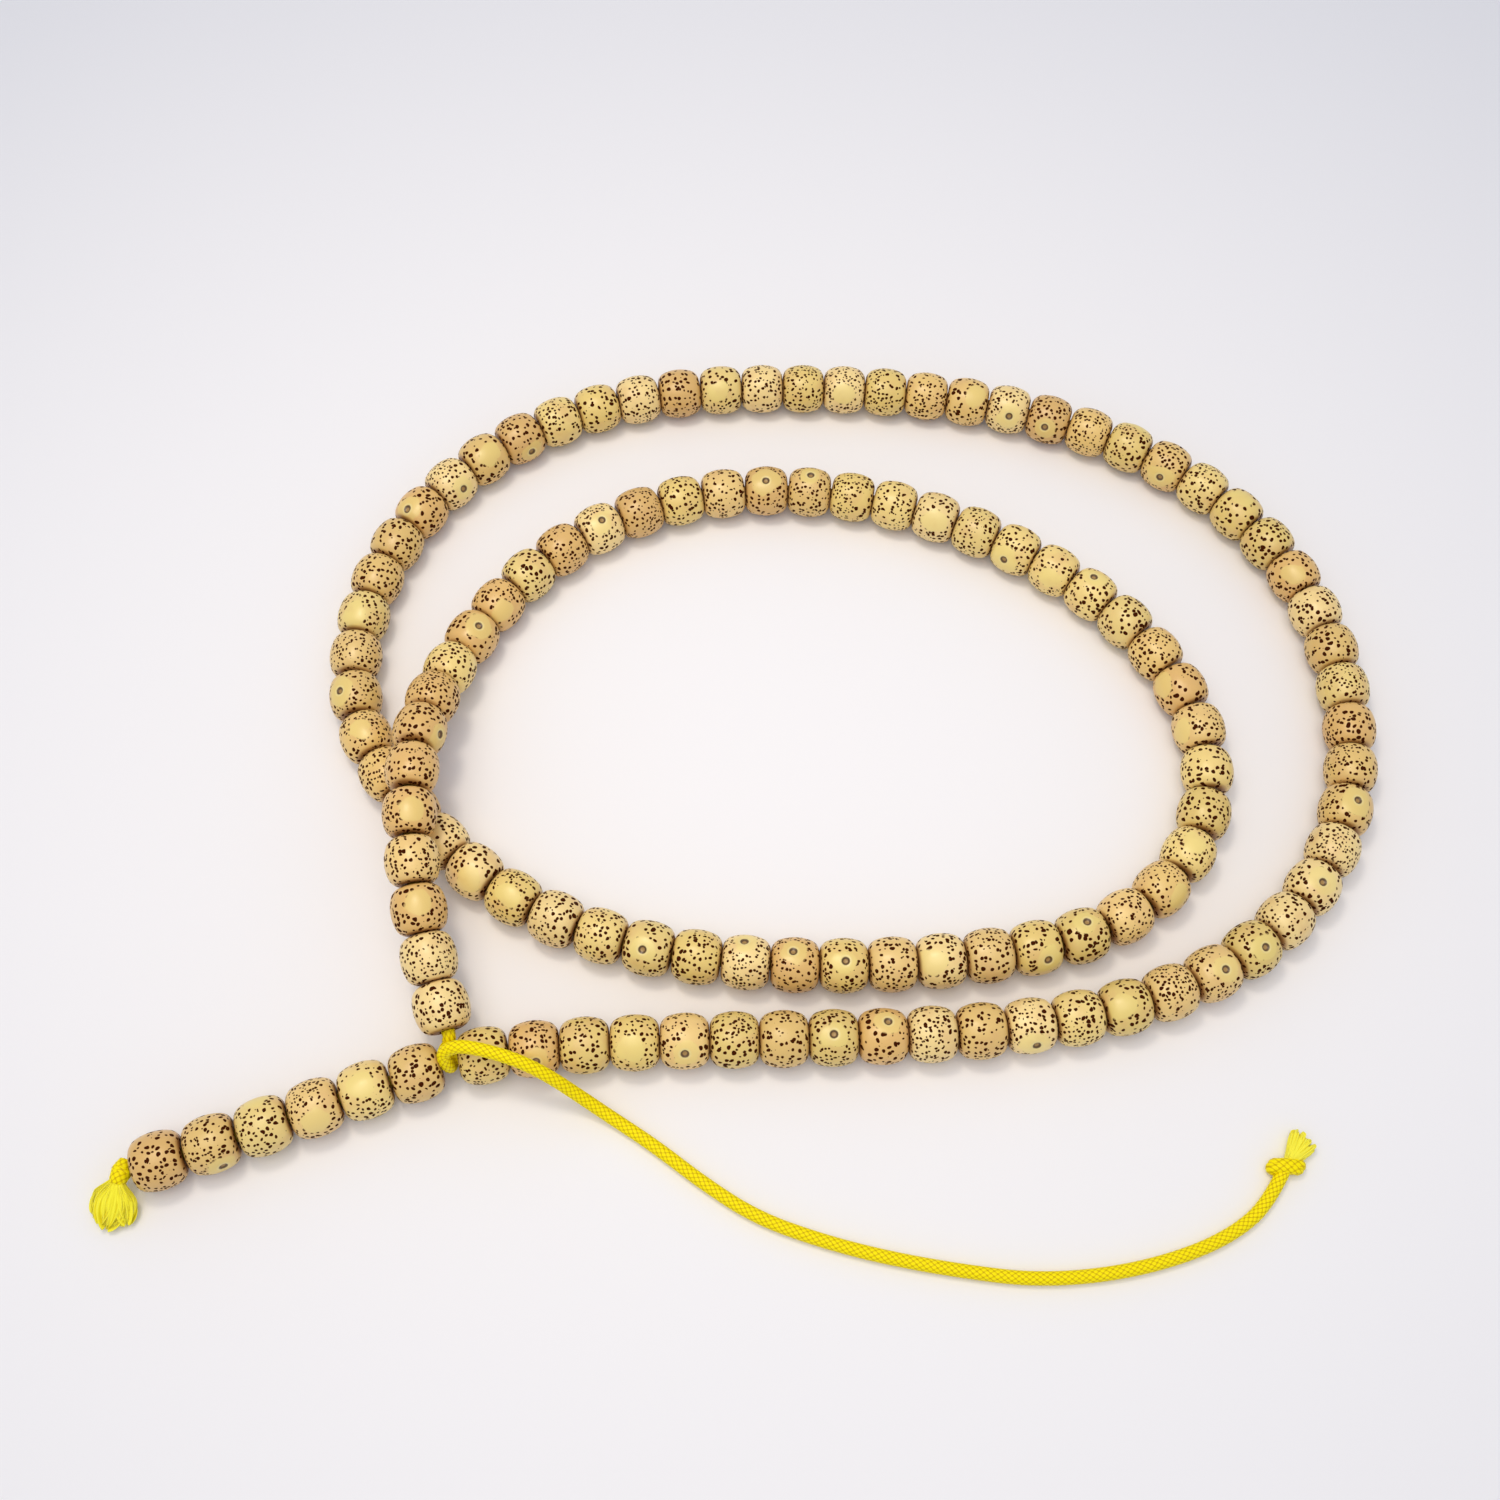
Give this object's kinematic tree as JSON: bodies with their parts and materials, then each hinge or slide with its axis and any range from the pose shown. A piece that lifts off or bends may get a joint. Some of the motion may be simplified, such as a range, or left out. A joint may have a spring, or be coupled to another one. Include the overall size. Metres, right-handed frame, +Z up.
{
  "type": "mala prayer beads",
  "caption": "Strand of round seed counting beads on a braided cord, lying as a doubled loop, with a short spare run and a free cord tail.",
  "frame": {"origin": "on the floor under the middle of the strand, without its free tail", "axes": "+X along the doubled loop's longer side, towards the side the tail runs to; +Y across it, away from the hitch; +Z up from the floor the beads lie on"},
  "size_m": [0.18, 0.1493, 0.016],
  "materials": {
    "seed_bead": "turned and waxed rattan seed with dark pores",
    "braided_cord": "tight round braid of polyester yarn",
    "frayed_cord": "loose frayed yarn",
    "fused_tip": "frayed and heat-sealed yarn end"
  },
  "bodies": {
    "strand": {"string": "braided_cord", "outer_beads": "seed_bead", "inner_beads": "seed_bead", "tail_cord": "braided_cord", "tail_knot": "braided_cord", "tail_tip": "fused_tip"},
    "spare_link_1": {"spare_string_1": "braided_cord"},
    "spare_bead_1": {"spare_bead_1": "seed_bead"},
    "spare_link_2": {"spare_string_2": "braided_cord"},
    "spare_bead_2": {"spare_bead_2": "seed_bead"},
    "spare_link_3": {"spare_string_3": "braided_cord"},
    "spare_bead_3": {"spare_bead_3": "seed_bead"},
    "spare_link_4": {"spare_string_4": "braided_cord"},
    "spare_bead_4": {"spare_bead_4": "seed_bead"},
    "spare_link_5": {"spare_string_5": "braided_cord"},
    "spare_bead_5": {"spare_bead_5": "seed_bead"},
    "spare_link_6": {"spare_string_6": "braided_cord", "start_knot": "braided_cord", "start_tuft": "frayed_cord"},
    "spare_bead_6": {"spare_bead_6": "seed_bead"},
    "counting_bead_003": {"counting_bead_003": "seed_bead"},
    "counting_bead_006": {"counting_bead_006": "seed_bead"},
    "counting_bead_009": {"counting_bead_009": "seed_bead"},
    "counting_bead_011": {"counting_bead_011": "seed_bead"},
    "counting_bead_014": {"counting_bead_014": "seed_bead"},
    "counting_bead_017": {"counting_bead_017": "seed_bead"},
    "counting_bead_019": {"counting_bead_019": "seed_bead"},
    "counting_bead_022": {"counting_bead_022": "seed_bead"},
    "counting_bead_025": {"counting_bead_025": "seed_bead"},
    "counting_bead_027": {"counting_bead_027": "seed_bead"},
    "counting_bead_030": {"counting_bead_030": "seed_bead"},
    "counting_bead_033": {"counting_bead_033": "seed_bead"},
    "counting_bead_036": {"counting_bead_036": "seed_bead"},
    "counting_bead_038": {"counting_bead_038": "seed_bead"},
    "counting_bead_041": {"counting_bead_041": "seed_bead"},
    "counting_bead_044": {"counting_bead_044": "seed_bead"},
    "counting_bead_046": {"counting_bead_046": "seed_bead"},
    "counting_bead_049": {"counting_bead_049": "seed_bead"},
    "counting_bead_052": {"counting_bead_052": "seed_bead"},
    "counting_bead_054": {"counting_bead_054": "seed_bead"},
    "counting_bead_057": {"counting_bead_057": "seed_bead"},
    "counting_bead_060": {"counting_bead_060": "seed_bead"},
    "counting_bead_063": {"counting_bead_063": "seed_bead"},
    "counting_bead_065": {"counting_bead_065": "seed_bead"},
    "counting_bead_068": {"counting_bead_068": "seed_bead"},
    "counting_bead_071": {"counting_bead_071": "seed_bead"},
    "counting_bead_073": {"counting_bead_073": "seed_bead"},
    "counting_bead_076": {"counting_bead_076": "seed_bead"},
    "counting_bead_079": {"counting_bead_079": "seed_bead"},
    "counting_bead_081": {"counting_bead_081": "seed_bead"},
    "counting_bead_084": {"counting_bead_084": "seed_bead"},
    "counting_bead_087": {"counting_bead_087": "seed_bead"},
    "counting_bead_090": {"counting_bead_090": "seed_bead"},
    "counting_bead_092": {"counting_bead_092": "seed_bead"},
    "counting_bead_095": {"counting_bead_095": "seed_bead"},
    "counting_bead_098": {"counting_bead_098": "seed_bead"},
    "counting_bead_100": {"counting_bead_100": "seed_bead"},
    "counting_bead_103": {"counting_bead_103": "seed_bead"},
    "counting_bead_106": {"counting_bead_106": "seed_bead"},
    "counting_bead_108": {"counting_bead_108": "seed_bead"}
  },
  "joints": [
    {"name": "bend_spare_1", "type": "hinge", "parent": "strand", "child": "spare_link_1", "pos_m": [-0.04567, -0.05033, 0.004], "axis": [0, 0, 1], "range_deg": [-5, 3]},
    {"name": "spin_spare_bead_1", "type": "hinge", "parent": "spare_link_1", "child": "spare_bead_1", "pos_m": [-0.04887, -0.05162, 0.004], "axis": [-0.9265, -0.3762, 0], "continuous": true},
    {"name": "bend_spare_2", "type": "hinge", "parent": "spare_link_1", "child": "spare_link_2", "pos_m": [-0.05216, -0.05296, 0.004], "axis": [0, 0, 1], "range_deg": [-6, 6]},
    {"name": "spin_spare_bead_2", "type": "hinge", "parent": "spare_link_2", "child": "spare_bead_2", "pos_m": [-0.05542, -0.05439, 0.004], "axis": [-0.9157, -0.4019, 0], "continuous": true},
    {"name": "bend_spare_3", "type": "hinge", "parent": "spare_link_2", "child": "spare_link_3", "pos_m": [-0.05866, -0.05581, 0.004], "axis": [0, 0, 1], "range_deg": [-6, 6]},
    {"name": "spin_spare_bead_3", "type": "hinge", "parent": "spare_link_3", "child": "spare_bead_3", "pos_m": [-0.06189, -0.05725, 0.004], "axis": [-0.9135, -0.4067, 0], "continuous": true},
    {"name": "bend_spare_4", "type": "hinge", "parent": "spare_link_3", "child": "spare_link_4", "pos_m": [-0.06511, -0.05869, 0.004], "axis": [0, 0, 1], "range_deg": [-6, 6]},
    {"name": "spin_spare_bead_4", "type": "hinge", "parent": "spare_link_4", "child": "spare_bead_4", "pos_m": [-0.06834, -0.06012, 0.004], "axis": [-0.9135, -0.4067, 0], "continuous": true},
    {"name": "bend_spare_5", "type": "hinge", "parent": "spare_link_4", "child": "spare_link_5", "pos_m": [-0.07159, -0.06157, 0.004], "axis": [0, 0, 1], "range_deg": [-6, 6]},
    {"name": "spin_spare_bead_5", "type": "hinge", "parent": "spare_link_5", "child": "spare_bead_5", "pos_m": [-0.07487, -0.06293, 0.004], "axis": [-0.9239, -0.3827, 0], "continuous": true},
    {"name": "bend_spare_6", "type": "hinge", "parent": "spare_link_5", "child": "spare_link_6", "pos_m": [-0.07815, -0.06429, 0.004], "axis": [0, 0, 1], "range_deg": [-6, 6]},
    {"name": "spin_spare_bead_6", "type": "hinge", "parent": "spare_link_6", "child": "spare_bead_6", "pos_m": [-0.08145, -0.06558, 0.004], "axis": [-0.9311, -0.3649, 0], "continuous": true},
    {"name": "spin_counting_bead_003", "type": "hinge", "parent": "strand", "child": "counting_bead_003", "pos_m": [-0.02623, -0.04628, 0.004], "axis": [0.9925, 0.1221, 0], "continuous": true},
    {"name": "spin_counting_bead_006", "type": "hinge", "parent": "strand", "child": "counting_bead_006", "pos_m": [-0.00556, -0.04427, 0.004], "axis": [0.9968, 0.0804, 0], "continuous": true},
    {"name": "spin_counting_bead_009", "type": "hinge", "parent": "strand", "child": "counting_bead_009", "pos_m": [0.01509, -0.04253, 0.004], "axis": [0.9954, 0.096, 0], "continuous": true},
    {"name": "spin_counting_bead_011", "type": "hinge", "parent": "strand", "child": "counting_bead_011", "pos_m": [0.02887, -0.04091, 0.004], "axis": [0.9894, 0.145, 0], "continuous": true},
    {"name": "spin_counting_bead_014", "type": "hinge", "parent": "strand", "child": "counting_bead_014", "pos_m": [0.04928, -0.03619, 0.004], "axis": [0.9469, 0.3216, 0], "continuous": true},
    {"name": "spin_counting_bead_017", "type": "hinge", "parent": "strand", "child": "counting_bead_017", "pos_m": [0.06797, -0.02639, 0.004], "axis": [0.7885, 0.6151, 0], "continuous": true},
    {"name": "spin_counting_bead_019", "type": "hinge", "parent": "strand", "child": "counting_bead_019", "pos_m": [0.07774, -0.01609, 0.004], "axis": [0.5704, 0.8214, 0], "continuous": true},
    {"name": "spin_counting_bead_022", "type": "hinge", "parent": "strand", "child": "counting_bead_022", "pos_m": [0.08542, 0.00368, 0.004], "axis": [0.1423, 0.9898, 0], "continuous": true},
    {"name": "spin_counting_bead_025", "type": "hinge", "parent": "strand", "child": "counting_bead_025", "pos_m": [0.08466, 0.0248, 0.004], "axis": [-0.2087, 0.978, 0], "continuous": true},
    {"name": "spin_counting_bead_027", "type": "hinge", "parent": "strand", "child": "counting_bead_027", "pos_m": [0.07991, 0.03814, 0.004], "axis": [-0.4609, 0.8875, 0], "continuous": true},
    {"name": "spin_counting_bead_030", "type": "hinge", "parent": "strand", "child": "counting_bead_030", "pos_m": [0.06635, 0.05441, 0.004], "axis": [-0.7811, 0.6243, 0], "continuous": true},
    {"name": "spin_counting_bead_033", "type": "hinge", "parent": "strand", "child": "counting_bead_033", "pos_m": [0.04791, 0.06465, 0.004], "axis": [-0.9378, 0.3471, 0], "continuous": true},
    {"name": "spin_counting_bead_036", "type": "hinge", "parent": "strand", "child": "counting_bead_036", "pos_m": [0.0275, 0.06954, 0.004], "axis": [-0.9916, 0.129, 0], "continuous": true},
    {"name": "spin_counting_bead_038", "type": "hinge", "parent": "strand", "child": "counting_bead_038", "pos_m": [0.01358, 0.07057, 0.004], "axis": [-0.9998, 0.0211, 0], "continuous": true},
    {"name": "spin_counting_bead_041", "type": "hinge", "parent": "strand", "child": "counting_bead_041", "pos_m": [-0.00726, 0.06977, 0.004], "axis": [-0.9961, -0.0887, 0], "continuous": true},
    {"name": "spin_counting_bead_044", "type": "hinge", "parent": "strand", "child": "counting_bead_044", "pos_m": [-0.02789, 0.066, 0.004], "axis": [-0.9558, -0.2939, 0], "continuous": true},
    {"name": "spin_counting_bead_046", "type": "hinge", "parent": "strand", "child": "counting_bead_046", "pos_m": [-0.04083, 0.06038, 0.004], "axis": [-0.8658, -0.5004, 0], "continuous": true},
    {"name": "spin_counting_bead_049", "type": "hinge", "parent": "strand", "child": "counting_bead_049", "pos_m": [-0.05685, 0.04658, 0.004], "axis": [-0.6157, -0.788, 0], "continuous": true},
    {"name": "spin_counting_bead_052", "type": "hinge", "parent": "strand", "child": "counting_bead_052", "pos_m": [-0.066, 0.02748, 0.004], "axis": [-0.2261, -0.9741, 0], "continuous": true},
    {"name": "spin_counting_bead_054", "type": "hinge", "parent": "strand", "child": "counting_bead_054", "pos_m": [-0.06722, 0.01336, 0.004], "axis": [0.0541, -0.9985, 0], "continuous": true},
    {"name": "spin_counting_bead_057", "type": "hinge", "parent": "strand", "child": "counting_bead_057", "pos_m": [-0.05964, -0.00649, 0.004], "axis": [0.6109, -0.7917, 0], "continuous": true},
    {"name": "spin_counting_bead_060", "type": "hinge", "parent": "strand", "child": "counting_bead_060", "pos_m": [-0.04461, -0.02125, 0.004], "axis": [0.8157, -0.5784, 0], "continuous": true},
    {"name": "spin_counting_bead_063", "type": "hinge", "parent": "strand", "child": "counting_bead_063", "pos_m": [-0.0254, -0.03004, 0.004], "axis": [0.9666, -0.2561, 0], "continuous": true},
    {"name": "spin_counting_bead_065", "type": "hinge", "parent": "strand", "child": "counting_bead_065", "pos_m": [-0.01156, -0.03241, 0.004], "axis": [0.9962, -0.0874, 0], "continuous": true},
    {"name": "spin_counting_bead_068", "type": "hinge", "parent": "strand", "child": "counting_bead_068", "pos_m": [0.00935, -0.03243, 0.004], "axis": [0.9977, 0.0682, 0], "continuous": true},
    {"name": "spin_counting_bead_071", "type": "hinge", "parent": "strand", "child": "counting_bead_071", "pos_m": [0.03005, -0.02963, 0.004], "axis": [0.9792, 0.203, 0], "continuous": true},
    {"name": "spin_counting_bead_073", "type": "hinge", "parent": "strand", "child": "counting_bead_073", "pos_m": [0.04357, -0.0258, 0.004], "axis": [0.9268, 0.3756, 0], "continuous": true},
    {"name": "spin_counting_bead_076", "type": "hinge", "parent": "strand", "child": "counting_bead_076", "pos_m": [0.05976, -0.01195, 0.004], "axis": [0.4931, 0.87, 0], "continuous": true},
    {"name": "spin_counting_bead_079", "type": "hinge", "parent": "strand", "child": "counting_bead_079", "pos_m": [0.06269, 0.00916, 0.004], "axis": [-0.2263, 0.9741, 0], "continuous": true},
    {"name": "spin_counting_bead_081", "type": "hinge", "parent": "strand", "child": "counting_bead_081", "pos_m": [0.05678, 0.02217, 0.004], "axis": [-0.5742, 0.8187, 0], "continuous": true},
    {"name": "spin_counting_bead_084", "type": "hinge", "parent": "strand", "child": "counting_bead_084", "pos_m": [0.04128, 0.03657, 0.004], "axis": [-0.8424, 0.5389, 0], "continuous": true},
    {"name": "spin_counting_bead_087", "type": "hinge", "parent": "strand", "child": "counting_bead_087", "pos_m": [0.02228, 0.04558, 0.004], "axis": [-0.9519, 0.3065, 0], "continuous": true},
    {"name": "spin_counting_bead_090", "type": "hinge", "parent": "strand", "child": "counting_bead_090", "pos_m": [0.00151, 0.0491, 0.004], "axis": [-0.9998, 0.0194, 0], "continuous": true},
    {"name": "spin_counting_bead_092", "type": "hinge", "parent": "strand", "child": "counting_bead_092", "pos_m": [-0.01254, 0.04781, 0.004], "axis": [-0.9786, -0.2057, 0], "continuous": true},
    {"name": "spin_counting_bead_095", "type": "hinge", "parent": "strand", "child": "counting_bead_095", "pos_m": [-0.03201, 0.03953, 0.004], "axis": [-0.8212, -0.5706, 0], "continuous": true},
    {"name": "spin_counting_bead_098", "type": "hinge", "parent": "strand", "child": "counting_bead_098", "pos_m": [-0.04651, 0.02411, 0.004], "axis": [-0.5208, -0.8537, 0], "continuous": true},
    {"name": "spin_counting_bead_100", "type": "hinge", "parent": "strand", "child": "counting_bead_100", "pos_m": [-0.05221, 0.01112, 0.00582], "axis": [-0.2626, -0.9219, 0.2849], "continuous": true},
    {"name": "spin_counting_bead_103", "type": "hinge", "parent": "strand", "child": "counting_bead_103", "pos_m": [-0.0543, -0.00917, 0.01181], "axis": [0.0521, -0.9928, 0.1083], "continuous": true},
    {"name": "spin_counting_bead_106", "type": "hinge", "parent": "strand", "child": "counting_bead_106", "pos_m": [-0.05071, -0.02994, 0.00978], "axis": [0.2676, -0.9344, -0.2353], "continuous": true},
    {"name": "spin_counting_bead_108", "type": "hinge", "parent": "strand", "child": "counting_bead_108", "pos_m": [-0.04628, -0.04277, 0.00647], "axis": [0.3624, -0.9082, -0.2092], "continuous": true}
  ]
}
